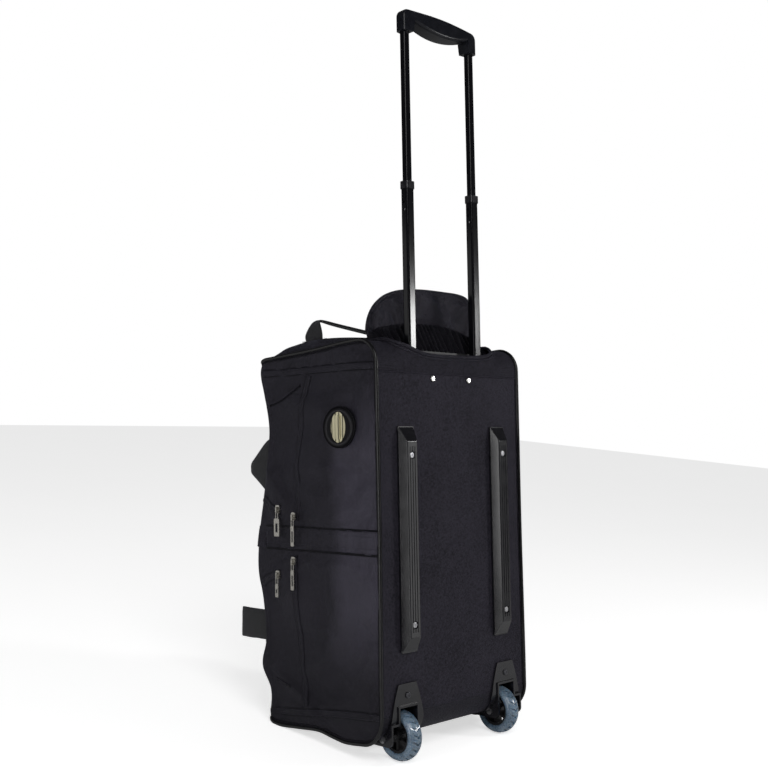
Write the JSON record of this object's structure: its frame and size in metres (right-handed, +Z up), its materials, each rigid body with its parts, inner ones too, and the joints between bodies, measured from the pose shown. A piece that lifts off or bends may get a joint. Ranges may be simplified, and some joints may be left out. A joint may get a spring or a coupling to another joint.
{
  "type": "rolling duffel bag",
  "caption": "Soft-sided wheeled duffel bag standing upright, with a telescoping trolley handle, skid rails, zipped side pockets and webbing carry handles.",
  "frame": {"origin": "on the ground, midway between the wheels, in the plane of the back panel", "axes": "+Z up along the bag's length, +X to the right when facing the back panel with the skid rails, +Y from the back panel towards the front panel"},
  "size_m": [0.3079, 0.3615, 1.0595],
  "materials": {
    "nylon_cloth": "matte woven nylon",
    "lining_cloth": "thin satin lining",
    "piping_vinyl": "glossy vinyl",
    "webbing": "ribbed webbing",
    "zip_coil": "nylon coil",
    "board_plastic": "moulded sheet",
    "black_plastic": "satin moulded",
    "grip_plastic": "polished",
    "button_plastic": "satin",
    "nickel": "nickel plated",
    "zip_metal": "plated die casting",
    "tube_enamel": "gloss black",
    "pin_steel": "ground",
    "wheel_rubber": "translucent polyurethane",
    "badge_rubber": "satin",
    "badge_metal": "polished"
  },
  "bodies": {
    "bag": {"back_panel": "nylon_cloth", "handle_pocket_panel": "nylon_cloth", "top_end_panel": "nylon_cloth", "bottom_end_panel": "nylon_cloth", "front_panel": "nylon_cloth", "side_panel_left": "nylon_cloth", "side_panel_right": "nylon_cloth", "edge_piping": "piping_vinyl", "mid_bands": "webbing", "pocket_linings": "lining_cloth", "base_board": "board_plastic", "inner_wall": "lining_cloth", "skid_rail_left": "black_plastic", "skid_rail_right": "black_plastic", "rail_screws": "nickel", "back_rivets": "nickel", "wheel_housing_left": "black_plastic", "wheel_housing_right": "black_plastic", "housing_screws": "nickel", "axles": "nickel", "outer_tubes": "tube_enamel", "upper_bracket": "black_plastic", "foot_bracket": "black_plastic", "pocket_liner": "lining_cloth", "handle_feet": "webbing", "badge_base": "badge_rubber", "badge_plate": "badge_metal", "pocket_zips": "zip_coil"},
    "handle_middle": {"middle_tubes": "tube_enamel", "tube_collars": "black_plastic", "middle_lock_plugs": "black_plastic"},
    "handle_top": {"top_tubes": "tube_enamel", "top_lock_plugs": "black_plastic", "grip_upper_shell": "grip_plastic", "grip_lower_shell": "grip_plastic", "button_spring": "pin_steel"},
    "button": {"release_button": "button_plastic", "push_rods": "pin_steel"},
    "top_pins": {"top_lock_pins": "pin_steel"},
    "middle_pins": {"middle_lock_pins": "pin_steel"},
    "wheel_left": {"tyre_left": "wheel_rubber", "hub_left": "black_plastic"},
    "wheel_right": {"tyre_right": "wheel_rubber", "hub_right": "black_plastic"},
    "pocket_flap": {"pocket_flap": "nylon_cloth"},
    "main_flap_left": {"main_flap_left": "nylon_cloth"},
    "main_flap_right": {"main_flap_right": "nylon_cloth"},
    "grab_handle": {"grab_handle": "webbing"},
    "carry_handle_left": {"carry_handle_left": "webbing"},
    "carry_handle_right": {"carry_handle_right": "webbing"},
    "main_zip_slider": {"main_zip_slider": "zip_metal"},
    "main_zip_tab": {"main_zip_tab": "zip_metal"},
    "upper_pocket_slider": {"upper_pocket_slider": "zip_metal"},
    "upper_pocket_tab": {"upper_pocket_tab": "zip_metal"},
    "lower_pocket_slider": {"lower_pocket_slider": "zip_metal"},
    "lower_pocket_tab": {"lower_pocket_tab": "zip_metal"},
    "upper_arch_slider": {"upper_arch_slider": "zip_metal"},
    "upper_arch_tab": {"upper_arch_tab": "zip_metal"},
    "lower_arch_slider": {"lower_arch_slider": "zip_metal"},
    "lower_arch_tab": {"lower_arch_tab": "zip_metal"}
  },
  "joints": [
    {"name": "handle_middle_slide", "type": "slide", "parent": "bag", "child": "handle_middle", "axis": [0, 0, 1], "range_m": [-0.225, 0]},
    {"name": "handle_top_slide", "type": "slide", "parent": "handle_middle", "child": "handle_top", "axis": [0, 0, 1], "range_m": [-0.21, 0]},
    {"name": "button_press", "type": "slide", "parent": "handle_top", "child": "button", "axis": [0, 0, -1], "range_m": [0, 0.004], "deforming": ["button_spring"]},
    {"name": "top_pins_retract", "type": "slide", "parent": "handle_top", "child": "top_pins", "axis": [1, 0, 0], "range_m": [0, 0.002]},
    {"name": "middle_pins_retract", "type": "slide", "parent": "handle_middle", "child": "middle_pins", "axis": [1, 0, 0], "range_m": [0, 0.002]},
    {"name": "wheel_left_spin", "type": "hinge", "parent": "bag", "child": "wheel_left", "pos_m": [-0.103, 0.013, 0.0345], "axis": [1, 0, 0], "continuous": true},
    {"name": "wheel_right_spin", "type": "hinge", "parent": "bag", "child": "wheel_right", "pos_m": [0.103, 0.013, 0.0345], "axis": [1, 0, 0], "continuous": true},
    {"name": "pocket_flap_fold", "type": "hinge", "parent": "bag", "child": "pocket_flap", "pos_m": [0, 0.06, 0.578], "axis": [1, 0, 0], "range_deg": [-75, 0]},
    {"name": "main_flap_left_open", "type": "hinge", "parent": "bag", "child": "main_flap_left", "pos_m": [-0.105, 0.25, 0.3115], "axis": [0, 0, 1], "range_deg": [0, 35]},
    {"name": "main_flap_right_open", "type": "hinge", "parent": "bag", "child": "main_flap_right", "pos_m": [0.105, 0.25, 0.3115], "axis": [0, 0, 1], "range_deg": [-35, 0]},
    {"name": "grab_handle_swing", "type": "hinge", "parent": "bag", "child": "grab_handle", "pos_m": [0, 0.1845, 0.577], "axis": [1, 0, 0], "range_deg": [-20, 20]},
    {"name": "carry_handle_left_swing", "type": "hinge", "parent": "bag", "child": "carry_handle_left", "pos_m": [-0.13, 0.2537, 0.2805], "axis": [0, 0, 1], "range_deg": [0, 85]},
    {"name": "carry_handle_right_swing", "type": "hinge", "parent": "bag", "child": "carry_handle_right", "pos_m": [0.13, 0.2537, 0.2805], "axis": [0, 0, 1], "range_deg": [-85, 0]},
    {"name": "main_zip_slide", "type": "slide", "parent": "bag", "child": "main_zip_slider", "axis": [0, 0, 1], "range_m": [0, 0.455]},
    {"name": "main_zip_tab_lift", "type": "hinge", "parent": "main_zip_slider", "child": "main_zip_tab", "pos_m": [0, 0.2549, 0.0712], "axis": [1, 0, 0], "range_deg": [0, 160]},
    {"name": "upper_pocket_slide", "type": "slide", "parent": "bag", "child": "upper_pocket_slider", "axis": [0, -0.0712, 0.9975], "range_m": [0, 0.15]},
    {"name": "upper_pocket_tab_lift", "type": "hinge", "parent": "upper_pocket_slider", "child": "upper_pocket_tab", "pos_m": [-0.1549, 0.176, 0.3252], "axis": [0, 1, 0], "range_deg": [0, 160]},
    {"name": "lower_pocket_slide", "type": "slide", "parent": "bag", "child": "lower_pocket_slider", "axis": [0, -0.0362, -0.9993], "range_m": [0, 0.15]},
    {"name": "lower_pocket_tab_lift", "type": "hinge", "parent": "lower_pocket_slider", "child": "lower_pocket_tab", "pos_m": [-0.1549, 0.177, 0.2612], "axis": [0, 1, 0], "range_deg": [0, 160]},
    {"name": "upper_arch_slide", "type": "slide", "parent": "bag", "child": "upper_arch_slider", "axis": [0, 0.9222, 0.3867], "range_m": [0, 0.022]},
    {"name": "upper_arch_tab_lift", "type": "hinge", "parent": "upper_arch_slider", "child": "upper_arch_tab", "pos_m": [-0.1549, 0.212, 0.3352], "axis": [0, 1, 0], "range_deg": [0, 160]},
    {"name": "lower_arch_slide", "type": "slide", "parent": "bag", "child": "lower_arch_slider", "axis": [0, 0.9424, -0.3344], "range_m": [0, 0.02]},
    {"name": "lower_arch_tab_lift", "type": "hinge", "parent": "lower_arch_slider", "child": "lower_arch_tab", "pos_m": [-0.1549, 0.213, 0.2392], "axis": [0, 1, 0], "range_deg": [0, 160]}
  ],
  "couplings": [
    {"joint": "top_pins_retract", "follows": "button_press", "ratio": 0.5}
  ]
}
